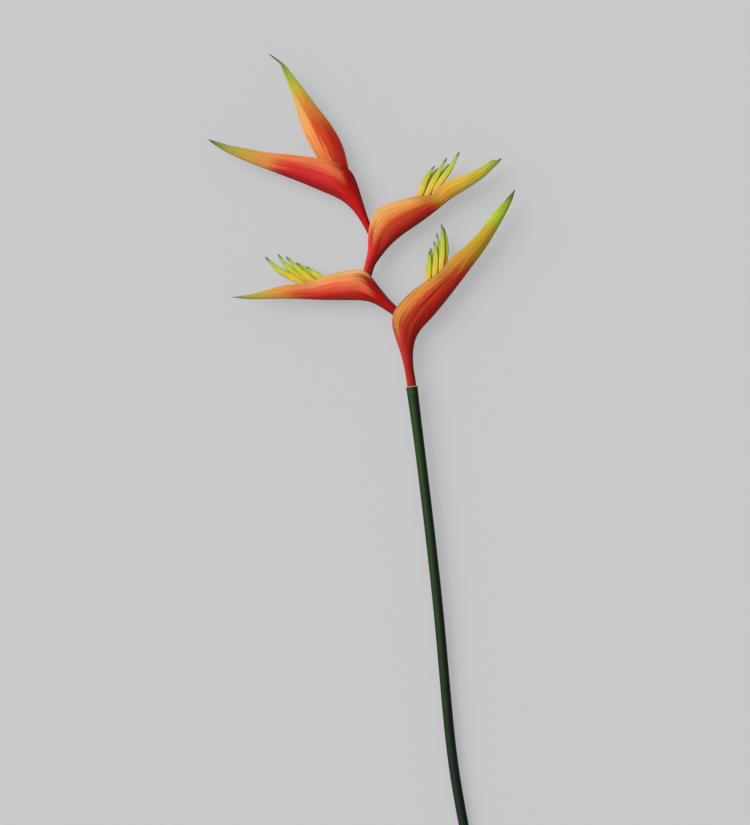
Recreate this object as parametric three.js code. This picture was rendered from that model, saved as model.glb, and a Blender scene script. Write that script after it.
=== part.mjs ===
// A cut heliconia flower lying on its side: a green stem with a socket in its top, five boat-shaped
// bracts that plug into each other in two ranks, and a fan of slender florets in each lower bract.
// Millimetres, +Z up. The stem runs along -Y, the bracts spread in the XY plane.

import * as THREE from "three";

// Driving dimensions.
const STEM_LENGTH = 374;
const STEM_RADIUS = 4.15;
const STEM_TOP_RADIUS = 4.8;
const SOCKET_RADIUS = 4.1;
const SOCKET_DEPTH = 11;
const STEM_SINK = 5.8; // how far the cut end lies below the middle of the bracts
const WALL = 1.3; // side wall of a bract
const FLOOR = 2.2; // thickness of a bract along its keel
const LIP = 0.9; // thickness of a bract at its rim
const GROOVE = 0.45; // half-width of the groove down the back of each neck
const DIP_REACH = 0.75; // stations either side of a slit over which its rim dips
const FLORET_THICKNESS = 0.85; // half-thickness of a floret at its widest
const FLORET_CHANNEL = 0.4;
const FLORET_STAGGER = 1; // neighbouring florets stand this far to either side of the slit
const FLORET_SPREAD = 0.35; // and this much further at their tips

const OUTER_STEPS = 14; // faces round the outside of a bract, from rim to rim
const INNER_STEPS = 8; // faces round the inside
const RINGS_PER_SPAN = 2;
const STEM_SIDES = 14;
const FLORET_SIDES = 8;

// How wide a floret is along its length: [share of its length, share of its full width].
const FLORET_PROFILE = [
  [0, 0.7],
  [0.17, 0.86],
  [0.34, 1],
  [0.52, 1],
  [0.7, 0.86],
  [0.85, 0.64],
  [0.96, 0.36],
];

// Side view of each bract from its plugged end to its tip: [keelX, keelY, rimX, rimY] for each
// station. The origin is the top of the stem. Stations up to `neck` are the round neck, and the
// hollow is fully open from station `body` on.
const BRACTS = [
  {
    name: "first_bract",
    colour: 0xc9402a,
    neck: 3.2,
    body: 5,
    plump: 0.645,
    axil: { at: 6.1, reach: 1.35, gape: 4.6 },
    slit: { at: 8.4, reach: 1.7, gape: 2.6, bulge: 0.6, dip: 3.6 },
    rise: [0, 7],
    stations: [
      [4.6, -9.6, -1.8, -10.4],
      [3.6, -2.3, -2.9, -3.1],
      [3.5, 4, -4.2, 3],
      [1.5, 15, -5.8, 13.5],
      [1.5, 31, -9.6, 28.5],
      [6.2, 43.5, -15.6, 46],
      [16, 54, -15.2, 59],
      [27, 67, -4, 73],
      [38, 81.5, 14, 87],
      [48, 95, 27, 99.5],
      [57.8, 108, 39.5, 109],
      [65.9, 121, 51.2, 120.5],
      [74, 135.3, 63.4, 136.2],
      [79.8, 147.2, 73.6, 147.4],
      [82.9, 157.4, 82.5, 157.6],
    ],
  },
  {
    name: "second_bract",
    colour: 0xd4492c,
    neck: 2.6,
    body: 5,
    plump: 0.62,
    axil: { at: 4.95, reach: 1.35, gape: 4.2 },
    slit: { at: 7.75, reach: 1.8, gape: 2.6, bulge: 1.4, dip: 2.2 },
    rise: [0.6, 4],
    stations: [
      [-8.2, 50.8, -4.6, 55.3],
      [-15, 56.5, -11.2, 62.8],
      [-22.5, 61.6, -17.5, 68.9],
      [-30.5, 66, -23, 75.5],
      [-37.5, 68, -28.5, 82.5],
      [-45.5, 68.4, -36.8, 92.4],
      [-56, 68.4, -50.5, 93],
      [-71, 68.6, -71, 88],
      [-88, 69.4, -89.5, 83],
      [-104, 69.7, -105.5, 79.8],
      [-119, 69.3, -120, 75.7],
      [-132, 69.4, -132, 72.6],
      [-144.5, 71, -144.5, 71.2],
    ],
  },
  {
    name: "third_bract",
    colour: 0xcf4a2c,
    neck: 3.2,
    body: 5.2,
    plump: 0.6,
    axil: { at: 5.4, reach: 1.3, gape: 4 },
    slit: { at: 8.6, reach: 2, gape: 3, bulge: 1.2, dip: 6.6 },
    rise: [0.8, 9],
    stations: [
      [-36.6, 76, -41.4, 77.2],
      [-33, 84.5, -39.8, 86.2],
      [-31.2, 90.5, -38.8, 92.6],
      [-29, 97, -37, 100.5],
      [-23.8, 104.2, -35.1, 109.5],
      [-17, 112.4, -34.8, 125],
      [-7, 120.9, -29.2, 141],
      [6.5, 130, -13.5, 147.5],
      [19, 139.5, 4.5, 153],
      [29.7, 148.4, 18.5, 159.5],
      [40, 155, 32, 165.5],
      [49.9, 161, 44.5, 169.6],
      [58.8, 167.6, 55.2, 174.7],
      [64.1, 172.8, 61.2, 178.9],
      [67.4, 176, 65, 180.6],
      [69.4, 178, 67.4, 179.9],
      [72.2, 182, 71.7, 182.4],
    ],
  },
  {
    name: "fourth_bract",
    colour: 0xcb3a28,
    neck: 2.8,
    body: 5,
    plump: 0.68,
    axil: { at: 6.5, reach: 2, gape: 6.5 },
    slit: null,
    rise: [0.2, 5],
    stations: [
      [-32.6, 116.4, -28.2, 118.9],
      [-36.7, 124.4, -32, 127.2],
      [-40.9, 131.8, -35.3, 135.5],
      [-46.5, 139.8, -38.1, 144.6],
      [-54.2, 147.1, -40.7, 153.2],
      [-64, 152.3, -44.1, 163.5],
      [-75.5, 157, -50.5, 174.2],
      [-89, 162.8, -70, 181.2],
      [-104, 168.4, -92, 184.5],
      [-120.4, 174.7, -114, 186.6],
      [-135.5, 180.8, -131.8, 189.8],
      [-148.3, 186.8, -145.4, 192.3],
      [-157.4, 192.4, -155.4, 195.1],
      [-163, 197, -163, 197.2],
    ],
  },
  {
    name: "top_bract",
    colour: 0xd95a2e,
    neck: 0,
    body: 2.8,
    plump: 0.46,
    axil: null,
    slit: null,
    rise: [0.2, 8],
    stations: [
      [-48.7, 157.3, -53, 155.4],
      [-49.4, 165, -56.8, 162.4],
      [-50.2, 172.4, -64.4, 169],
      [-51.5, 180, -73.6, 179.8],
      [-54.7, 191.8, -80.4, 190.3],
      [-60.3, 202.9, -86, 200.7],
      [-67.4, 213.4, -89.7, 211.3],
      [-76.5, 224.4, -93.1, 223],
      [-85.4, 236.4, -96.8, 234.6],
      [-94, 247.4, -100.8, 245.5],
      [-100.3, 255.5, -104.1, 253.9],
      [-104.2, 258.6, -105.4, 257.2],
      [-109.4, 262.2, -110.2, 261.2],
      [-114.8, 265.9, -115.2, 265.4],
    ],
  },
];

// Each fan of florets stands in the slit of its bract. `root` leads from the slit back into the
// bract; every path runs from the slit to the tip of one floret.
const FANS = [
  {
    name: "first_floret",
    width: 2.12,
    root: [-0.4, -9],
    paths: [
      [[13.4, 87.6], [14.1, 98.8], [14, 108.6]],
      [[15.8, 88.4], [16.9, 101], [14.8, 111]],
      [[18.4, 90.4], [19.4, 104.4], [17.6, 116.4]],
      [[21, 92.4], [22, 108.4], [19.9, 123]],
      [[23.6, 95.2], [24.7, 112.4], [23.8, 130.4]],
      [[26, 98.4], [27.7, 113.6], [25.3, 127.8]],
    ],
  },
  {
    name: "second_floret",
    width: 2.35,
    root: [7.4, -5.2],
    paths: [
      [[-91.4, 84.6], [-106, 92.4], [-117.6, 103.8]],
      [[-87.2, 85.2], [-99.6, 95.4], [-107.3, 106]],
      [[-82.4, 86.4], [-92.8, 95.4], [-100.9, 103.8]],
      [[-78.2, 87.2], [-86.2, 93.6], [-92.6, 99]],
      [[-74.2, 87.4], [-80.2, 91.8], [-84.6, 95.6]],
    ],
  },
  {
    name: "third_floret",
    width: 2.26,
    root: [-3.4, -7.6],
    paths: [
      [[7.4, 154.4], [11, 165], [18.5, 176.2]],
      [[10.4, 155], [15, 166], [21.4, 174.6]],
      [[13.4, 155.6], [21.2, 170.4], [28.2, 182.8]],
      [[16.8, 157], [24, 168.6], [30, 177.8]],
      [[20.4, 159.4], [30.8, 174.2], [38.4, 187.8]],
    ],
  },
];

const STEM_COLOUR = 0x2c4526;
const FLORET_COLOUR = 0xa9b52c;

const mix = THREE.MathUtils.lerp;
const ease = THREE.MathUtils.smoothstep;

// A rounded bump: 1 at `at`, 0 from `reach` away on.
function bump(t, at, reach) {
  const x = Math.min(1, Math.abs(t - at) / reach);
  return (1 - x * x) ** 2;
}

// A closed surface through rings of equal point counts, with a point closing each end. Rings wind
// anticlockwise seen from the last ring.
function loft(rings, startPoint, endPoint) {
  const count = rings[0].length;
  const points = [startPoint, ...rings.flat(), endPoint];
  const last = points.length - 1;
  const index = [];
  for (let i = 0; i < count; i++) {
    const next = (i + 1) % count;
    index.push(0, 1 + next, 1 + i);
    for (let r = 0; r < rings.length - 1; r++) {
      const a = 1 + r * count + i;
      const b = 1 + r * count + next;
      index.push(a, b, b + count, a, b + count, a + count);
    }
    const top = 1 + (rings.length - 1) * count;
    index.push(top + i, top + next, last);
  }
  const geometry = new THREE.BufferGeometry().setFromPoints(points);
  geometry.setIndex(index);
  geometry.computeVertexNormals();
  return geometry;
}

function namedMesh(name, geometry, colour, roughness) {
  const material = new THREE.MeshStandardMaterial({ color: colour, roughness, metalness: 0 });
  const mesh = new THREE.Mesh(geometry, material);
  mesh.name = name;
  return mesh;
}

// How far the middle of a bract stands above the middle of the first one's neck at t.
function leanAt(bract, t) {
  return mix(bract.rise[0], bract.rise[1], ease(t, bract.body, bract.stations.length + 1));
}

// The shape of a bract at t, counted in stations: where its keel and rim are, how wide it is, and
// how large its hollow is.
function bractShape(bract, keel, rim, t) {
  const end = bract.stations.length - 1;
  const u = t / end;
  const low = keel.getPoint(u);
  const high = rim.getPoint(u);
  if (bract.slit) {
    const pull = bract.slit.dip * bump(t, bract.slit.at, DIP_REACH);
    high.addScaledVector(low.clone().sub(high).normalize(), pull);
  }
  const height = Math.max(0.25, low.distanceTo(high) / 2);
  const open = ease(t, bract.neck, bract.body);
  const bulge = bract.slit ? bract.slit.bulge * bump(t, bract.slit.at, bract.slit.reach * 1.4) : 0;
  const width = height * mix(1, bract.plump, open) + bulge;
  const wall = Math.min(WALL, width * 0.3);
  let gape = mix(GROOVE, 0.9, open);
  if (bract.axil) gape += bract.axil.gape * bump(t, bract.axil.at, bract.axil.reach) * open;
  if (bract.slit) gape += bract.slit.gape * bump(t, bract.slit.at, bract.slit.reach);
  gape = Math.min(gape, width * 0.8 - wall);
  const depth = 2 * height - Math.min(FLOOR, height * 0.55);
  return {
    middle: low.clone().add(high).multiplyScalar(0.5),
    up: high.clone().sub(low).normalize(),
    height,
    width,
    lean: leanAt(bract, t),
    gape,
    lip: Math.min(LIP, width * 0.22),
    hollowDepth: mix(Math.min(1, height * 0.4), depth, open),
    hollowWidth: mix(gape * 1.15, width - wall, open),
    sharpness: mix(1, 1.2, open),
  };
}

// A point of a section that is `width` wide at most and still `gape` wide at its rim, at `share` of
// the way from rim to keel: how far out it is, and how far down from the rim as a share of depth.
function flank(width, gape, sharpness, share) {
  const start = Math.asin(Math.min(0.96, gape / width) ** (1 / sharpness));
  const a = mix(start, Math.PI, share);
  return [
    share === 1 ? 0 : width * Math.sin(a) ** sharpness,
    (Math.cos(start) - Math.cos(a)) / (Math.cos(start) + 1),
  ];
}

// One ring of a bract: round the outside from one rim to the other, then back round the hollow.
// `hand` is 1 for a bract that curls to the right of its rim and -1 for one that curls to the left.
function bractRing(shape, hand) {
  const place = (across, along) =>
    new THREE.Vector3(
      shape.middle.x + shape.up.x * along,
      shape.middle.y + shape.up.y * along,
      shape.lean + hand * across,
    );
  const ring = [];
  for (let i = 0; i <= OUTER_STEPS; i++) {
    const turn = 1 - Math.abs(1 - (2 * i) / OUTER_STEPS);
    const side = 2 * i <= OUTER_STEPS ? 1 : -1;
    const [out, down] = flank(shape.width, shape.gape + shape.lip, shape.sharpness, turn);
    ring.push(place(side * out, shape.height - 2 * shape.height * down));
  }
  for (let i = INNER_STEPS; i >= 0; i--) {
    const turn = 1 - Math.abs(1 - (2 * i) / INNER_STEPS);
    const side = 2 * i <= INNER_STEPS ? 1 : -1;
    const [out, down] = flank(shape.hollowWidth, shape.gape, shape.sharpness, turn);
    ring.push(place(side * out, shape.height - shape.hollowDepth * down));
  }
  return ring;
}

function makeBract(bract) {
  const keel = new THREE.CatmullRomCurve3(
    bract.stations.map(([x, y]) => new THREE.Vector3(x, y, 0)),
    false,
    "catmullrom",
    0.5,
  );
  const rim = new THREE.CatmullRomCurve3(
    bract.stations.map(([, , x, y]) => new THREE.Vector3(x, y, 0)),
    false,
    "catmullrom",
    0.5,
  );
  const spans = bract.stations.length - 1;
  const travel = keel.getPoint(0.5).sub(keel.getPoint(0.4));
  const up = rim.getPoint(0.5).sub(keel.getPoint(0.5));
  const hand = Math.sign(travel.x * up.y - travel.y * up.x);
  const rings = [];
  for (let r = 0; r < spans * RINGS_PER_SPAN; r++) {
    rings.push(bractRing(bractShape(bract, keel, rim, r / RINGS_PER_SPAN), hand));
  }
  const first = bractShape(bract, keel, rim, 0);
  const last = bractShape(bract, keel, rim, spans);
  const centre = new THREE.Vector3(first.middle.x, first.middle.y, first.lean);
  const tip = new THREE.Vector3(last.middle.x, last.middle.y, last.lean);
  return namedMesh(bract.name, loft(rings, centre, tip), bract.colour, 0.5);
}

// A slender claw, flattened across the fan, that keeps its width for most of its length and has a
// shallow channel along the face that looks up.
function makeFloret(name, points, width) {
  const curve = new THREE.CatmullRomCurve3(points);
  const upward = new THREE.Vector3(0, 0, 1);
  const rings = FLORET_PROFILE.map(([share, size]) => {
    const centre = curve.getPointAt(share);
    const along = curve.getTangentAt(share);
    const across = new THREE.Vector3().crossVectors(upward, along).normalize();
    const out = new THREE.Vector3().crossVectors(along, across).normalize();
    return Array.from({ length: FLORET_SIDES }, (_, i) => {
      const a = (2 * Math.PI * i) / FLORET_SIDES;
      const channel = Math.max(0, Math.sin(a)) ** 6 * FLORET_CHANNEL;
      const edge = centre.clone().addScaledVector(across, size * width * Math.cos(a));
      return edge.addScaledVector(out, size * (FLORET_THICKNESS * Math.sin(a) - channel));
    });
  });
  return namedMesh(name, loft(rings, curve.getPointAt(0), curve.getPointAt(1)), FLORET_COLOUR, 0.5);
}

function makeFan(fan, lean) {
  const florets = new THREE.Group();
  fan.paths.forEach((path, i) => {
    const side = i % 2 ? -1 : 1;
    const heights = [0, 0, 0.4, 1].map((t) => lean + side * (FLORET_STAGGER + t * FLORET_SPREAD));
    const root = [path[0][0] + fan.root[0], path[0][1] + fan.root[1]];
    const points = [root, ...path].map(([x, y], k) => new THREE.Vector3(x, y, heights[k]));
    florets.add(makeFloret(fan.name + "_" + (i + 1), points, fan.width));
  });
  return florets;
}

// The stem bows a little, sinks towards its cut end and carries a socket in its top.
function makeStem() {
  const centreLine = new THREE.CatmullRomCurve3([
    new THREE.Vector3(46, -STEM_LENGTH, -STEM_SINK),
    new THREE.Vector3(33.5, -305, -STEM_SINK * 0.82),
    new THREE.Vector3(21, -175, -STEM_SINK * 0.48),
    new THREE.Vector3(12, -95, -STEM_SINK * 0.26),
    new THREE.Vector3(3.2, -24, -STEM_SINK * 0.06),
    new THREE.Vector3(0, 0, 0),
  ]);
  const length = centreLine.getLength();
  const ringAt = (share, radius) => {
    const centre = centreLine.getPointAt(share);
    const along = centreLine.getTangentAt(share);
    const across = new THREE.Vector3().crossVectors(new THREE.Vector3(0, 0, 1), along).normalize();
    const out = new THREE.Vector3().crossVectors(along, across).normalize();
    return Array.from({ length: STEM_SIDES }, (_, i) => {
      const a = (2 * Math.PI * i) / STEM_SIDES;
      const point = centre.clone().addScaledVector(across, radius * Math.cos(a));
      return point.addScaledVector(out, radius * Math.sin(a));
    });
  };
  const rings = [];
  const steps = 13;
  for (let i = 0; i <= steps; i++) {
    const share = i / steps;
    const flare = ease(share, 0.9, 0.99) * (STEM_TOP_RADIUS - STEM_RADIUS);
    rings.push(ringAt(share, STEM_RADIUS + flare));
  }
  const socketFloor = 1 - SOCKET_DEPTH / length;
  rings.push(ringAt(1, SOCKET_RADIUS));
  rings.push(ringAt(1 - SOCKET_DEPTH / 2 / length, SOCKET_RADIUS));
  rings.push(ringAt(socketFloor, SOCKET_RADIUS));
  const cutEnd = centreLine.getPointAt(0);
  return namedMesh("stem", loft(rings, cutEnd, centreLine.getPointAt(socketFloor)), STEM_COLOUR, 0.4);
}

const flower = new THREE.Group();
flower.add(makeStem());
for (const bract of BRACTS) flower.add(makeBract(bract));
FANS.forEach((fan, i) => flower.add(makeFan(fan, leanAt(BRACTS[i], BRACTS[i].slit.at))));

// The origin is on the surface the flower lies on, under the middle of its outline.
const box = new THREE.Box3().setFromObject(flower, true);
const middle = box.getCenter(new THREE.Vector3());
flower.position.set(-middle.x, -middle.y, -box.min.z);

export default flower;
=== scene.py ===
# A cut heliconia flower lying on a pale surface, seen from straight above.
import bpy
import math
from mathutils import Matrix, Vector, noise


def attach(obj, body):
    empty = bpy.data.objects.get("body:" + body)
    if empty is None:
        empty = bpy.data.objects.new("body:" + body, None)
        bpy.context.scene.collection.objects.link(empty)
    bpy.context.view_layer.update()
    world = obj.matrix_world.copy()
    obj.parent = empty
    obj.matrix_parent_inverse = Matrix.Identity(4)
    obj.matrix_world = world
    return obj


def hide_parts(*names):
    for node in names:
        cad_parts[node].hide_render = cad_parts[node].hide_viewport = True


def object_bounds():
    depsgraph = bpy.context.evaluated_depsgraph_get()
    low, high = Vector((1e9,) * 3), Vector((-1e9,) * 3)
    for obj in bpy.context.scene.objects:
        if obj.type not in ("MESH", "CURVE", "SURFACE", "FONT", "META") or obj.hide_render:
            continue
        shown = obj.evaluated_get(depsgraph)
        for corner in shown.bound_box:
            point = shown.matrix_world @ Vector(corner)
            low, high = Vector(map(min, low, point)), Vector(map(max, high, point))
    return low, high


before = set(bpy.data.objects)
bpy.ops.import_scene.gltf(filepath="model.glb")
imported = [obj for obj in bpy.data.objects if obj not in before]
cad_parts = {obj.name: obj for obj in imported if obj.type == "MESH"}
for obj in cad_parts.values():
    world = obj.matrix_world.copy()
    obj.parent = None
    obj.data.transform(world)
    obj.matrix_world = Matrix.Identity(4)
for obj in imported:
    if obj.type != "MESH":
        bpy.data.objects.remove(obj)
cadLow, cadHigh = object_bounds()
scene = bpy.context.scene
middle = (cadLow + cadHigh) / 2
length = cadHigh.y - cadLow.y
print("frame loaded, the flower is", round(length, 3), "m long")


camera = {
    "height": 2.2,  # above the middle of the flower
    "view": 0.66,  # what it sees from top to bottom
    "fromLeft": 0.1336,  # its centre, from the tip of the fourth bract
    "fromTop": 0.2868,  # and from the end of the thread on the top bract
}

bpy.ops.object.select_all(action="DESELECT")
bpy.ops.object.camera_add(
    location=(
        cadLow.x + camera["fromLeft"],
        cadHigh.y - camera["fromTop"],
        middle.z + camera["height"],
    ),
    rotation=(0, 0, 0),
)
lookDown = bpy.context.object
lookDown.name = "lookDown"
lookDown.data.sensor_width = 36
lookDown.data.lens = lookDown.data.sensor_width * camera["height"] / camera["view"]
lookDown.data.clip_end = 20
scene.camera = lookDown
scene.view_settings.view_transform = "Standard"


def wire(tree, value, socket):
    if isinstance(value, bpy.types.NodeSocket):
        tree.links.new(value, socket)
    else:
        socket.default_value = value


def calc(tree, operation, a, b=0.0, clamp=False):
    node = tree.nodes.new("ShaderNodeMath")
    node.operation = operation
    node.use_clamp = clamp
    wire(tree, a, node.inputs[0])
    wire(tree, b, node.inputs[1])
    return node.outputs[0]


def ease(tree, value, start, end):
    node = tree.nodes.new("ShaderNodeMapRange")
    node.interpolation_type = "SMOOTHSTEP"
    wire(tree, value, node.inputs["Value"])
    wire(tree, start, node.inputs["From Min"])
    wire(tree, end, node.inputs["From Max"])
    return node.outputs["Result"]


def blendColour(tree, share, a, b):
    # inputs 6 and 7 and output 2 are the ones that carry colours
    node = tree.nodes.new("ShaderNodeMix")
    node.data_type = "RGBA"
    wire(tree, share, node.inputs["Factor"])
    wire(tree, a, node.inputs[6])
    wire(tree, b, node.inputs[7])
    return node.outputs[2]


def ramp(tree, share, stops):
    node = tree.nodes.new("ShaderNodeValToRGB")
    node.color_ramp.interpolation = "EASE"
    marks = node.color_ramp.elements
    while len(marks) < len(stops):
        marks.new(0.5)
    for mark, (place, colour) in zip(marks, stops):
        mark.position = place
        mark.color = paint(colour)
    wire(tree, share, node.inputs["Fac"])
    return node.outputs["Color"]


def attribute(tree, name):
    node = tree.nodes.new("ShaderNodeAttribute")
    node.attribute_name = name
    return node.outputs["Fac"]


def paint(colour):
    # a screen colour, 0 to 255 each, as the linear one that shaders take
    shares = [c / 255 for c in colour]
    return tuple(c / 12.92 if c <= 0.04 else ((c + 0.055) / 1.055) ** 2.4 for c in shares) + (1,)


def newGroup(name, inputs, outputs):
    tree = bpy.data.node_groups.new(name, "ShaderNodeTree")
    kinds = {"float": "NodeSocketFloat", "colour": "NodeSocketColor", "vector": "NodeSocketVector"}
    for socketName, kind in inputs:
        tree.interface.new_socket(socketName, in_out="INPUT", socket_type=kinds[kind])
    for socketName, kind in outputs:
        tree.interface.new_socket(socketName, in_out="OUTPUT", socket_type=kinds[kind])
    return tree, tree.nodes.new("NodeGroupInput").outputs, tree.nodes.new("NodeGroupOutput").inputs


def placeGroup(tree, group, **values):
    node = tree.nodes.new("ShaderNodeGroup")
    node.node_tree = group
    for socketName, value in values.items():
        wire(tree, value, node.inputs[socketName])
    return node.outputs


def newMaterial(name):
    material = bpy.data.materials.new(name)
    material.use_nodes = True
    tree = material.node_tree
    return material, tree, tree.nodes["Principled BSDF"]


def makeGrainGroup():
    # fibres that run from the neck to the tip: fine ones, and the broad bands they lie in
    tree, given, result = newGroup(
        "lengthwiseGrain",
        [("Along", "float"), ("Around", "float"), ("Seed", "float")],
        [("Fine", "float"), ("Broad", "float"), ("Mottle", "float")],
    )

    def fibres(stretch, density, detail):
        join = tree.nodes.new("ShaderNodeCombineXYZ")
        wire(tree, calc(tree, "MULTIPLY", given["Along"], stretch), join.inputs[0])
        wire(tree, calc(tree, "MULTIPLY", given["Around"], density), join.inputs[1])
        wire(tree, given["Seed"], join.inputs[2])
        cloud = tree.nodes.new("ShaderNodeTexNoise")
        cloud.inputs["Scale"].default_value = 1
        cloud.inputs["Detail"].default_value = detail
        wire(tree, join.outputs[0], cloud.inputs["Vector"])
        return ease(tree, cloud.outputs["Fac"], 0.3, 0.7)

    wire(tree, fibres(3.5, 46, 3), result["Fine"])
    wire(tree, fibres(2, 13, 1), result["Broad"])
    wire(tree, fibres(9, 9, 3), result["Mottle"])
    return tree


def makeBractGroup():
    # red neck and side, gold towards the tip, a pale rim, a dark keel line that is partly painted shade,
    # and painted shade towards the keel and by the slit, all frayed by the fibres
    tree, given, result = newGroup(
        "bractTint",
        [
            ("Along", "float"),
            ("Height", "float"),
            ("Fine", "float"),
            ("Broad", "float"),
            ("Mottle", "float"),
            ("Neck", "colour"),
            ("Side", "colour"),
            ("Tipward", "colour"),
            ("Rim", "colour"),
            ("Keel", "colour"),
            ("Streak", "colour"),
            ("NeckEnd", "float"),
            ("NeckSlant", "float"),
            ("GoldStart", "float"),
            ("GoldWidth", "float"),
            ("GoldSlant", "float"),
            ("RimGlow", "float"),
            ("KeelShade", "float"),
            ("Streaks", "float"),
            ("SlitAt", "float"),
            ("SlitShade", "float"),
        ],
        [("Colour", "colour"), ("Roughness", "float"), ("Relief", "float")],
    )
    wander = calc(tree, "MULTIPLY", calc(tree, "SUBTRACT", given["Broad"], 0.5), 0.07)
    shiver = calc(tree, "MULTIPLY", calc(tree, "SUBTRACT", given["Fine"], 0.5), given["Streaks"])
    fray = calc(tree, "ADD", wander, calc(tree, "MULTIPLY", shiver, 0.16))
    place = calc(tree, "ADD", given["Along"], fray)
    slant = calc(tree, "MULTIPLY", given["Height"], given["NeckSlant"])
    neckEdge = calc(tree, "ADD", given["NeckEnd"], slant)
    inBody = ease(tree, place, calc(tree, "SUBTRACT", neckEdge, 0.05), calc(tree, "ADD", neckEdge, 0.05))
    slant = calc(tree, "MULTIPLY", given["Height"], given["GoldSlant"])
    goldEdge = calc(tree, "ADD", given["GoldStart"], slant)
    inGold = ease(tree, place, goldEdge, calc(tree, "ADD", goldEdge, given["GoldWidth"]))
    body = blendColour(tree, inBody, given["Neck"], given["Side"])
    streaked = calc(tree, "MULTIPLY", ease(tree, given["Fine"], 0.5, 0.9), given["Streaks"], clamp=True)
    body = blendColour(tree, calc(tree, "MULTIPLY", streaked, inBody), body, given["Streak"])
    whole = blendColour(tree, inGold, body, given["Tipward"])

    # the pale band under the rim fades out where the gold turns green
    bandPlace = calc(tree, "ADD", given["Height"], calc(tree, "MULTIPLY", wander, 1.2))
    inBand = calc(tree, "MULTIPLY", ease(tree, bandPlace, 0.62, 0.78), given["RimGlow"])
    fading = calc(tree, "SUBTRACT", 1.0, ease(tree, given["Along"], 0.58, 0.78))
    inBand = calc(tree, "MULTIPLY", inBand, fading)
    whole = blendColour(tree, calc(tree, "MULTIPLY", inBand, inBody), whole, given["Rim"])

    # a thin dark line on the keel itself, partly the keel's own dark colour and partly painted shade where
    # the skin turns from the light, under a broad zone of painted shade towards the keel, and a painted
    # shadow by the slit where the florets come out
    onKeel = calc(tree, "SUBTRACT", 1.0, ease(tree, given["Height"], 0.01, 0.07))
    whole = blendColour(tree, calc(tree, "MULTIPLY", onKeel, 0.75), whole, given["Keel"])
    keelShadeZone = calc(tree, "SUBTRACT", 1.0, ease(tree, given["Height"], 0.0, 0.5))
    fromSlit = calc(tree, "ABSOLUTE", calc(tree, "SUBTRACT", given["Along"], given["SlitAt"]))
    slitShadow = calc(tree, "SUBTRACT", 1.0, ease(tree, fromSlit, 0.01, 0.09))
    slitShadow = calc(tree, "MULTIPLY", slitShadow, ease(tree, given["Height"], 0.25, 0.7))
    shade = calc(tree, "MULTIPLY", keelShadeZone, given["KeelShade"])
    shade = calc(tree, "ADD", shade, calc(tree, "MULTIPLY", slitShadow, given["SlitShade"]))
    lighter = calc(tree, "ADD", calc(tree, "MULTIPLY", given["Mottle"], 0.06), 0.98)
    lighter = calc(tree, "ADD", lighter, calc(tree, "MULTIPLY", shiver, -0.35))
    # painted shade towards the keel and painted shadow by the slit darken the colour here
    lighter = calc(tree, "MULTIPLY", lighter, calc(tree, "SUBTRACT", 1.0, shade))
    scaled = tree.nodes.new("ShaderNodeVectorMath")
    scaled.operation = "SCALE"
    wire(tree, whole, scaled.inputs[0])
    wire(tree, lighter, scaled.inputs["Scale"])
    wire(tree, scaled.outputs[0], result["Colour"])
    rough = calc(tree, "ADD", calc(tree, "MULTIPLY", given["Mottle"], 0.12), 0.42)
    wire(tree, calc(tree, "ADD", rough, calc(tree, "MULTIPLY", inGold, 0.06)), result["Roughness"])
    relief = calc(tree, "ADD", given["Fine"], calc(tree, "MULTIPLY", given["Mottle"], 0.12))
    wire(tree, relief, result["Relief"])
    return tree


grainGroup = makeGrainGroup()
bractGroup = makeBractGroup()
print("shared effects built")


def copyNode(nodeName, pieceName):
    # its own merged copy of the node's mesh
    bpy.ops.object.select_all(action="DESELECT")
    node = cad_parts[nodeName]
    piece = node.copy()
    piece.data = node.data.copy()
    piece.name = pieceName
    piece.data.name = pieceName
    piece.data.materials.clear()
    scene.collection.objects.link(piece)
    piece.select_set(True)
    bpy.context.view_layer.objects.active = piece
    bpy.ops.object.mode_set(mode="EDIT")
    bpy.ops.mesh.select_all(action="SELECT")
    bpy.ops.mesh.remove_doubles(threshold=0.00002)
    bpy.ops.object.mode_set(mode="OBJECT")
    return piece


def squareUp(piece):
    bpy.ops.object.mode_set(mode="EDIT")
    bpy.ops.mesh.select_all(action="SELECT")
    bpy.ops.mesh.tris_convert_to_quads(face_threshold=math.pi, shape_threshold=math.pi)
    bpy.ops.object.mode_set(mode="OBJECT")


def ringsOf(mesh):
    # the rings of points from the low end of a loft to its far end, the pole at each end being one too
    beside = [[] for _ in mesh.vertices]
    for edge in mesh.edges:
        a, b = edge.vertices
        beside[a].append(b)
        beside[b].append(a)
    poles = sorted(range(len(beside)), key=lambda i: -len(beside[i]))[:2]
    start = min(poles, key=lambda i: mesh.vertices[i].co.y)
    seen = {start}
    rings = [[start]]
    while rings[-1]:
        following = {j for i in rings[-1] for j in beside[i]} - seen
        seen |= following
        rings.append(sorted(following))
    return rings[:-1]


def acrossBract(points):
    # 0 at one rim, 0.5 at the keel, 1 at the other rim
    centre = sum(points, Vector()) / len(points)
    flat = [(p - centre).xy for p in points]
    xx = sum(f.x * f.x for f in flat)
    yy = sum(f.y * f.y for f in flat)
    xy = sum(f.x * f.y for f in flat)
    angle = math.atan2(2 * xy, xx - yy) / 2
    up = Vector((math.cos(angle), math.sin(angle)))
    rise = [f.dot(up) for f in flat]
    low, high = min(rise), max(rise)

    def spread(level):
        heights = [p.z for p, r in zip(points, rise) if abs(r - level) < 0.02 * (high - low) + 1e-7]
        return max(heights) - min(heights)

    if spread(low) > spread(high):  # the slit is wide where the rim is, and the keel is one point
        rise = [-r for r in rise]
        low, high = -high, -low
    keel = min(zip(rise, (p.z for p in points)))[1]
    share = [(r - low) / max(1e-9, high - low) for r in rise]
    return [0.5 + 0.5 * s * (1 if p.z >= keel else -1) for s, p in zip(share, points)]


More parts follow.
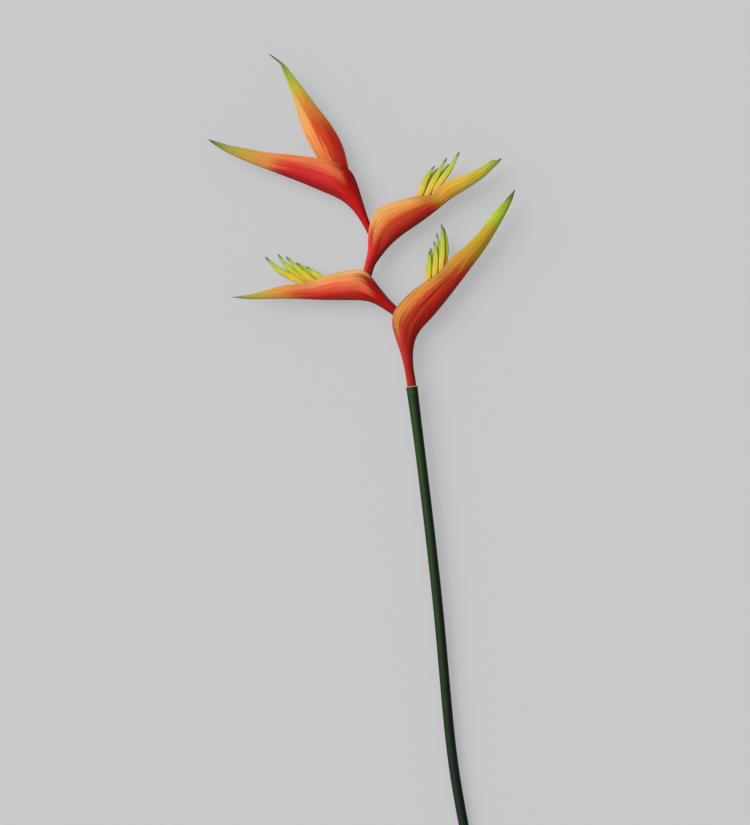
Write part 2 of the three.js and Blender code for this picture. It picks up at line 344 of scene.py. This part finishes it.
def acrossTube(points, direction):
    # 0 to 1 from the left edge to the right edge, as seen from above
    centre = sum(points, Vector()) / len(points)
    side = Vector((direction.y, -direction.x, 0)).normalized()
    reach = [(p - centre).dot(side) for p in points]
    widest = max(max(map(abs, reach)), 1e-9)
    return [0.5 + 0.5 * r / widest for r in reach]


def measure(piece, isBract):
    # writes how far along and how far around each point is, for materials and modifiers
    mesh = piece.data
    rings = ringsOf(mesh)
    places = [[mesh.vertices[i].co.copy() for i in ring] for ring in rings]
    centres = [sum(points, Vector()) / len(points) for points in places]
    steps = [0.0]
    for a, b in zip(centres, centres[1:]):
        steps.append(steps[-1] + (b - a).length)
    along = mesh.attributes.new("along", "FLOAT", "POINT")
    around = mesh.attributes.new("around", "FLOAT", "POINT")
    last = len(rings) - 1
    for k, ring in enumerate(rings):
        if len(ring) == 1:
            across = [0.5]
        elif isBract:
            across = acrossBract(places[k])
        else:
            across = acrossTube(places[k], centres[min(k + 1, last)] - centres[max(k - 1, 0)])
        for i, share in zip(ring, across):
            along.data[i].value = steps[k] / steps[-1]
            around.data[i].value = share
    return steps[-1]


def sharpEnds(piece):
    # keeps the points at both ends where they are when the mesh is subdivided
    mesh = piece.data
    crease = mesh.attributes.new("crease_vert", "FLOAT", "POINT")
    rings = ringsOf(mesh)
    for ring in (rings[0], rings[-1]):
        crease.data[ring[0]].value = 1.0


def sharpenCuts(piece):
    # keeps the rings round the cut end, the top, the lip and the floor of the socket crisp
    mesh = piece.data
    crease = mesh.attributes.new("crease_edge", "FLOAT", "EDGE")
    rings = ringsOf(mesh)
    for k in (1, -5, -4, -2):
        ring = set(rings[k])
        for edge in mesh.edges:
            if set(edge.vertices) <= ring:
                crease.data[edge.index].value = 1.0


def addModifier(piece, kind, **settings):
    bpy.context.view_layer.objects.active = piece
    bpy.ops.object.modifier_add(type=kind)
    modifier = piece.modifiers[-1]
    for setting, value in settings.items():
        setattr(modifier, setting, value)
    bpy.ops.object.modifier_apply(modifier=modifier.name)


def weigh(piece, groupName, weightAt):
    # a vertex group whose weights come from where a point is along and around the piece
    mesh = piece.data
    group = piece.vertex_groups.new(name=groupName)
    along = [a.value for a in mesh.attributes["along"].data]
    around = [a.value for a in mesh.attributes["around"].data]
    for i, (u, v) in enumerate(zip(along, around)):
        group.add([i], min(1, max(0, weightAt(u, v))), "REPLACE")


def rampUp(value, start, end):
    x = min(1, max(0, (value - start) / (end - start)))
    return x * x * (3 - 2 * x)


def finishPiece(piece, nodeName, material):
    bpy.context.view_layer.objects.active = piece
    bpy.ops.object.shade_smooth()
    piece.data.materials.append(material)
    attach(piece, "root")
    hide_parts(nodeName)


waxySkin = {"specular": 0.1, "bump": 0.6, "bumpDepth": 0.0005}


def bractMaterial(name, bract):
    material, tree, shader = newMaterial(name + "Skin")
    along = attribute(tree, "along")
    around = attribute(tree, "around")
    height = calc(tree, "ABSOLUTE", calc(tree, "MULTIPLY", calc(tree, "SUBTRACT", around, 0.5), 2.0))
    grain = placeGroup(tree, grainGroup, Along=along, Around=around, Seed=bract["seed"])
    drift = calc(tree, "MULTIPLY", calc(tree, "SUBTRACT", grain["Broad"], 0.5), 0.14)
    tint = placeGroup(
        tree,
        bractGroup,
        Along=along,
        Height=height,
        Fine=grain["Fine"],
        Broad=grain["Broad"],
        Mottle=grain["Mottle"],
        Neck=ramp(tree, height, bract["neck"]),
        Side=ramp(tree, calc(tree, "ADD", height, drift), bract["side"]),
        Tipward=ramp(tree, along, bract["tipward"]),
        Rim=ramp(tree, along, bract["rim"]),
        Keel=ramp(tree, along, bract["keel"]),
        Streak=paint(bract["streak"]),
        NeckEnd=bract["neckEnd"],
        NeckSlant=bract["neckSlant"],
        GoldStart=bract["goldStart"],
        GoldWidth=bract["goldWidth"],
        GoldSlant=bract["goldSlant"],
        RimGlow=bract["rimGlow"],
        KeelShade=bract["keelShade"],
        Streaks=bract["streaks"],
        SlitAt=bract["slitAt"],
        SlitShade=bract["slitShade"],
    )
    bump = tree.nodes.new("ShaderNodeBump")
    bump.inputs["Strength"].default_value = waxySkin["bump"]
    bump.inputs["Distance"].default_value = waxySkin["bumpDepth"]
    wire(tree, tint["Relief"], bump.inputs["Height"])
    wire(tree, bump.outputs["Normal"], shader.inputs["Normal"])
    wire(tree, tint["Colour"], shader.inputs["Base Color"])
    wire(tree, tint["Roughness"], shader.inputs["Roughness"])
    shader.inputs["Specular IOR Level"].default_value = waxySkin["specular"]
    return material


def makeBract(name, bract):
    piece = copyNode(name, name + "_skin")
    measure(piece, isBract=True)
    sharpEnds(piece)
    squareUp(piece)
    addModifier(piece, "SUBSURF", levels=3, render_levels=3)

    def body(u):
        return rampUp(u, bract["ribStart"], bract["ribStart"] + 0.18) * (1 - rampUp(u, 0.8, 0.96))

    def ribAt(u, v):
        height = abs(2 * v - 1)
        coarse = noise.noise(Vector((u * 3, v * 34, bract["seed"])))
        fine = noise.noise(Vector((u * 5, v * 70, bract["seed"])))
        return (0.5 + 0.6 * coarse + 0.3 * fine) * body(u) * rampUp(height, 0.02, 0.12)

    def bandAt(u, v):
        # the skin falls in between the shoulder line and the rim
        height = abs(2 * v - 1)
        inward = rampUp(height, bract["shoulder"] - 0.04, bract["shoulder"] + 0.1)
        return inward * (1 - rampUp(height, 0.85, 1)) * body(u)

    weigh(piece, "ribs", ribAt)
    addModifier(piece, "DISPLACE", vertex_group="ribs", strength=-bract["ribs"], mid_level=0)
    weigh(piece, "band", bandAt)
    addModifier(piece, "DISPLACE", vertex_group="band", strength=-bract["band"], mid_level=0)
    finishPiece(piece, name, bractMaterial(name, bract))
    print(name, "done")


# colours run from keel to rim in neck and side, and from neck to tip in keel and tipward
firstBract = {
    "seed": 1.0,
    # the neck darkens towards the keel, partly its own deeper red and partly painted shade on the side
    # turned from the light
    "neck": [(0, (112, 14, 12)), (0.4, (150, 20, 14)), (0.75, (172, 40, 32)), (1, (176, 60, 48))],
    "side": [
        (0, (158, 22, 12)),
        (0.25, (200, 40, 28)),
        (0.5, (188, 62, 28)),
        (0.7, (188, 100, 36)),
        (1, (192, 138, 66)),
    ],
    "tipward": [
        (0.5, (204, 108, 30)),
        (0.62, (192, 128, 34)),
        (0.72, (184, 144, 38)),
        (0.8, (186, 158, 44)),
        (0.86, (176, 190, 46)),
        (0.92, (156, 176, 50)),
        (0.97, (104, 122, 58)),
        (1, (66, 80, 50)),
    ],
    "rim": [(0, (212, 150, 74)), (1, (206, 160, 70))],
    "keel": [
        (0, (136, 14, 12)),
        (0.55, (146, 26, 14)),
        (0.68, (150, 110, 26)),
        (0.85, (104, 124, 36)),
        (1, (52, 66, 40)),
    ],
    "streak": (146, 26, 8),
    "neckEnd": 0.25,
    "neckSlant": 0.05,
    "goldStart": 0.6,
    "goldWidth": 0.08,
    "goldSlant": -0.05,
    "rimGlow": 0.3,
    "keelShade": 0.0,
    "streaks": 0.75,
    "slitAt": 0.565,
    "slitShade": 0.22,
    "ribStart": 0.17,
    "ribs": 0.00045,
    "shoulder": 0.62,
    "band": 0.0006,
}
makeBract("first_bract", firstBract)

secondBract = {
    "seed": 2.0,
    "neck": [(0, (150, 16, 18)), (0.45, (176, 20, 14)), (0.8, (160, 20, 14)), (1, (130, 22, 16))],
    "side": [
        (0, (184, 34, 26)),
        (0.28, (212, 58, 44)),
        (0.5, (230, 98, 66)),
        (0.72, (224, 132, 74)),
        (1, (214, 162, 98)),
    ],
    "tipward": [
        (0.55, (222, 98, 50)),
        (0.65, (222, 120, 56)),
        (0.74, (220, 146, 62)),
        (0.83, (198, 166, 68)),
        (0.9, (176, 170, 74)),
        (0.96, (150, 152, 76)),
        (1, (92, 102, 66)),
    ],
    "rim": [(0, (216, 166, 106)), (1, (214, 166, 90))],
    "keel": [
        (0, (120, 14, 12)),
        (0.5, (120, 24, 14)),
        (0.75, (140, 96, 40)),
        (0.9, (112, 118, 56)),
        (1, (80, 90, 56)),
    ],
    "streak": (190, 40, 26),
    "neckEnd": 0.23,
    "neckSlant": 0.1,
    "goldStart": 0.58,
    "goldWidth": 0.18,
    "goldSlant": -0.06,
    "rimGlow": 0.35,
    "keelShade": 0.0,
    "streaks": 0.16,
    "slitAt": 0.59,
    "slitShade": 0.1,
    "ribStart": 0.15,
    "ribs": 0.00012,
    "shoulder": 0.66,
    "band": 0.0005,
}
makeBract("second_bract", secondBract)

thirdBract = {
    "seed": 3.0,
    # the neck darkens towards the keel, partly its own deeper red and partly painted shade on the side
    # turned from the light
    "neck": [(0, (120, 16, 16)), (0.45, (160, 18, 14)), (0.75, (196, 36, 34)), (1, (206, 64, 56))],
    "side": [
        (0, (156, 26, 18)),
        (0.22, (190, 40, 26)),
        (0.42, (196, 72, 36)),
        (0.6, (210, 122, 52)),
        (1, (216, 160, 90)),
    ],
    "tipward": [
        (0.5, (200, 104, 28)),
        (0.58, (208, 130, 36)),
        (0.66, (212, 156, 52)),
        (0.76, (218, 178, 66)),
        (0.84, (200, 174, 50)),
        (0.9, (178, 176, 56)),
        (0.96, (154, 164, 68)),
        (1, (80, 92, 52)),
    ],
    "rim": [(0, (214, 160, 98)), (1, (212, 168, 90))],
    "keel": [
        (0, (96, 12, 12)),
        (0.55, (98, 14, 8)),
        (0.66, (112, 74, 24)),
        (0.85, (112, 116, 36)),
        (1, (66, 76, 44)),
    ],
    "streak": (176, 40, 18),
    "neckEnd": 0.22,
    "neckSlant": 0.06,
    "goldStart": 0.57,
    "goldWidth": 0.1,
    "goldSlant": -0.08,
    "rimGlow": 0.4,
    "keelShade": 0.0,
    "streaks": 0.22,
    "slitAt": 0.6,
    "slitShade": 0.24,
    "ribStart": 0.14,
    "ribs": 0.00016,
    "shoulder": 0.6,
    "band": 0.0007,
}
makeBract("third_bract", thirdBract)

fourthBract = {
    "seed": 4.0,
    "neck": [(0, (168, 28, 32)), (0.4, (196, 24, 20)), (0.8, (166, 14, 14)), (1, (140, 14, 14))],
    "side": [
        (0, (164, 24, 28)),
        (0.3, (206, 42, 44)),
        (0.5, (204, 52, 42)),
        (0.72, (218, 96, 60)),
        (1, (214, 118, 70)),
    ],
    "tipward": [
        (0.52, (224, 84, 56)),
        (0.6, (226, 106, 62)),
        (0.7, (220, 144, 70)),
        (0.8, (202, 162, 68)),
        (0.88, (176, 164, 72)),
        (0.94, (142, 148, 80)),
        (1, (62, 76, 50)),
    ],
    "rim": [(0, (216, 122, 70)), (1, (222, 142, 80))],
    "keel": [
        (0, (140, 16, 22)),
        (0.55, (136, 18, 22)),
        (0.7, (158, 90, 46)),
        (0.85, (142, 118, 54)),
        (1, (58, 70, 46)),
    ],
    "streak": (184, 28, 24),
    "neckEnd": 0.25,
    "neckSlant": 0.17,
    "goldStart": 0.57,
    "goldWidth": 0.14,
    "goldSlant": -0.04,
    "rimGlow": 0.3,
    "keelShade": 0.0,
    "streaks": 0.14,
    "slitAt": 0.5,
    "slitShade": 0.0,
    "ribStart": 0.17,
    "ribs": 0.0001,
    "shoulder": 0.72,
    "band": 0.0006,
}
makeBract("fourth_bract", fourthBract)

topBract = {
    "seed": 5.0,
    "neck": [(0, (140, 26, 16)), (0.5, (180, 44, 26)), (1, (206, 80, 46))],
    "side": [
        (0, (176, 44, 26)),
        (0.25, (188, 42, 26)),
        (0.5, (210, 70, 36)),
        (0.66, (234, 122, 62)),
        (1, (218, 138, 78)),
    ],
    "tipward": [
        (0.3, (204, 66, 34)),
        (0.42, (202, 88, 38)),
        (0.55, (210, 124, 50)),
        (0.64, (212, 152, 58)),
        (0.72, (200, 188, 56)),
        (0.8, (176, 192, 66)),
        (0.88, (148, 166, 76)),
        (0.93, (104, 114, 74)),
        (1, (84, 90, 72)),
    ],
    "rim": [
        (0, (214, 96, 56)),
        (0.2, (222, 118, 66)),
        (0.36, (224, 150, 86)),
        (0.52, (228, 174, 102)),
        (0.66, (216, 196, 110)),
    ],
    "keel": [
        (0, (166, 28, 20)),
        (0.35, (176, 66, 34)),
        (0.5, (186, 128, 60)),
        (0.75, (140, 144, 66)),
        (1, (84, 92, 66)),
    ],
    "streak": (168, 34, 18),
    "neckEnd": 0.06,
    "neckSlant": 0.0,
    "goldStart": 0.26,
    "goldWidth": 0.3,
    "goldSlant": 0.14,
    "rimGlow": 0.72,
    "keelShade": 0.0,
    "streaks": 0.7,
    "slitAt": 0.5,
    "slitShade": 0.0,
    "ribStart": -0.02,
    "ribs": 0.00045,
    "shoulder": 0.66,
    "band": 0.0006,
}
makeBract("top_bract", topBract)


florets = {
    "along": [
        (0, (214, 170, 58)),
        (0.34, (222, 192, 60)),
        (0.48, (200, 194, 50)),
        (0.64, (184, 196, 58)),
        (0.84, (166, 182, 84)),
        (0.94, (110, 122, 72)),
        (1, (46, 54, 40)),
    ],
    "edge": (92, 112, 34),
    "edgeAtRoot": (206, 160, 46),
    "swell": 0.0005,  # pressed together up to where they part
    "apartFrom": 0.5,
    "partedBy": 0.75,
    "specular": 0.2,
    "bump": 0.4,
    "bumpDepth": 0.0002,
}


def floretMaterial():
    material, tree, shader = newMaterial("floretSkin")
    along = attribute(tree, "along")
    around = attribute(tree, "around")
    grain = placeGroup(tree, grainGroup, Along=along, Around=around, Seed=7.0)
    fromCentre = calc(tree, "ABSOLUTE", calc(tree, "MULTIPLY", calc(tree, "SUBTRACT", around, 0.5), 2.0))
    outside = ease(tree, along, 0.34, 0.56)
    edge = blendColour(tree, outside, paint(florets["edgeAtRoot"]), paint(florets["edge"]))
    inEdge = calc(tree, "MULTIPLY", ease(tree, fromCentre, 0.62, 1.0), 0.7)
    colour = blendColour(tree, inEdge, ramp(tree, along, florets["along"]), edge)
    wire(tree, colour, shader.inputs["Base Color"])
    bump = tree.nodes.new("ShaderNodeBump")
    bump.inputs["Strength"].default_value = florets["bump"]
    bump.inputs["Distance"].default_value = florets["bumpDepth"]
    wire(tree, grain["Fine"], bump.inputs["Height"])
    wire(tree, bump.outputs["Normal"], shader.inputs["Normal"])
    rough = calc(tree, "ADD", calc(tree, "MULTIPLY", grain["Mottle"], 0.1), 0.4)
    wire(tree, rough, shader.inputs["Roughness"])
    shader.inputs["Specular IOR Level"].default_value = florets["specular"]
    return material


floretSkin = floretMaterial()
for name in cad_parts:
    if "floret" in name:
        piece = copyNode(name, name + "_skin")
        measure(piece, isBract=False)
        sharpEnds(piece)
        squareUp(piece)
        addModifier(piece, "SUBSURF", levels=3, render_levels=3)
        weigh(piece, "pressed", lambda u, v: 1 - rampUp(u, florets["apartFrom"], florets["partedBy"]))
        addModifier(piece, "DISPLACE", vertex_group="pressed", strength=florets["swell"], mid_level=0)
        finishPiece(piece, name, floretSkin)
print("florets done")


stem = {
    # each ramp runs from the left edge to the right edge as seen from above: the stem's dark green with a
    # painted highlight left of centre and painted shade falling to near black at the right edge
    "upperWithPaintedLight": [
        (0, (22, 42, 18)),
        (0.3, (44, 70, 32)),
        (0.55, (26, 50, 20)),
        (0.8, (10, 26, 8)),
        (1, (2, 8, 2)),
    ],
    "lower": [
        (0, (20, 32, 20)),
        (0.3, (32, 46, 32)),
        (0.55, (22, 36, 22)),
        (0.8, (8, 18, 8)),
        (1, (2, 6, 2)),
    ],
    "rim": (172, 134, 106),
    "rimWidth": 0.0009,
    "cut": (112, 128, 76),
    "specular": 0.12,
    "bump": 0.4,
    "bumpDepth": 0.0003,
    "socketDepth": 0.011,
}


def stemMaterial(rimPlace, rimWidth):
    material, tree, shader = newMaterial("stemSkin")
    along = attribute(tree, "along")
    around = attribute(tree, "around")
    grain = placeGroup(tree, grainGroup, Along=calc(tree, "MULTIPLY", along, 4.0), Around=around, Seed=9.0)
    drift = calc(tree, "MULTIPLY", calc(tree, "SUBTRACT", grain["Broad"], 0.5), 0.1)
    across = calc(tree, "ADD", around, drift)
    climb = ease(tree, along, 0.1, 0.9)
    # painted highlight and painted shade across the stem, from its left edge to its right edge as seen
    # from above
    colour = blendColour(tree, climb, ramp(tree, across, stem["lower"]), ramp(tree, across, stem["upperWithPaintedLight"]))
    atRim = ease(tree, along, rimPlace - rimWidth, rimPlace - rimWidth * 0.7)
    colour = blendColour(tree, atRim, colour, paint(stem["rim"]))
    onCut = calc(tree, "SUBTRACT", 1.0, ease(tree, along, 0.0001, 0.0005))
    colour = blendColour(tree, onCut, colour, paint(stem["cut"]))
    wire(tree, colour, shader.inputs["Base Color"])
    bump = tree.nodes.new("ShaderNodeBump")
    bump.inputs["Strength"].default_value = stem["bump"]
    bump.inputs["Distance"].default_value = stem["bumpDepth"]
    wire(tree, grain["Fine"], bump.inputs["Height"])
    wire(tree, bump.outputs["Normal"], shader.inputs["Normal"])
    rough = calc(tree, "ADD", calc(tree, "MULTIPLY", grain["Mottle"], 0.12), 0.36)
    wire(tree, rough, shader.inputs["Roughness"])
    shader.inputs["Specular IOR Level"].default_value = stem["specular"]
    return material


stemPiece = copyNode("stem", "stem_skin")
stemRun = measure(stemPiece, isBract=False)  # up the stem and back down to the floor of its socket
sharpenCuts(stemPiece)
squareUp(stemPiece)
addModifier(stemPiece, "SUBSURF", levels=2, render_levels=2)
stemRim = 1 - stem["socketDepth"] / stemRun
finishPiece(stemPiece, "stem", stemMaterial(stemRim, stem["rimWidth"] / stemRun))
print("stem done")


studio = {
    "floor": 0.2,  # what the floor reflects
    "floorGlow": 0.37,  # and what it gives off, so that shadows on it stay faint
    "floorSize": 12,
    "floorBelow": 0.0004,  # a hair under the flower, so that nothing flickers
    "world": 0.4,
    "sun": 3.1,
    "sunFrom": (0.72, -0.4, -0.74),
    "softness": 50,
}


def makeFloor():
    bpy.ops.object.select_all(action="DESELECT")
    bpy.ops.mesh.primitive_plane_add(
        size=studio["floorSize"],
        location=(middle.x, middle.y, cadLow.z - studio["floorBelow"]),
    )
    floor = bpy.context.object
    floor.name = "floor"
    material, tree, shader = newMaterial("paleFloor")
    shader.inputs["Base Color"].default_value = (studio["floor"], studio["floor"], studio["floor"], 1)
    shader.inputs["Emission Color"].default_value = (0.995, 1, 1.02, 1)
    shader.inputs["Emission Strength"].default_value = studio["floorGlow"]
    shader.inputs["Roughness"].default_value = 0.9
    shader.inputs["Specular IOR Level"].default_value = 0.0
    floor.data.materials.append(material)


def addSun(name, direction, strength, softness):
    bpy.ops.object.select_all(action="DESELECT")
    bpy.ops.object.light_add(type="SUN", location=(middle.x, middle.y, 1.5))
    light = bpy.context.object
    light.name = name
    light.data.energy = strength
    light.data.angle = math.radians(softness)
    light.rotation_euler = Vector(direction).to_track_quat("-Z", "Y").to_euler()


makeFloor()
addSun("windowLight", studio["sunFrom"], studio["sun"], studio["softness"])
world = bpy.data.worlds.new("studio")
world.use_nodes = True
world.node_tree.nodes["Background"].inputs["Color"].default_value = (1, 1, 1, 1)
world.node_tree.nodes["Background"].inputs["Strength"].default_value = studio["world"]
scene.world = world
print("studio done")
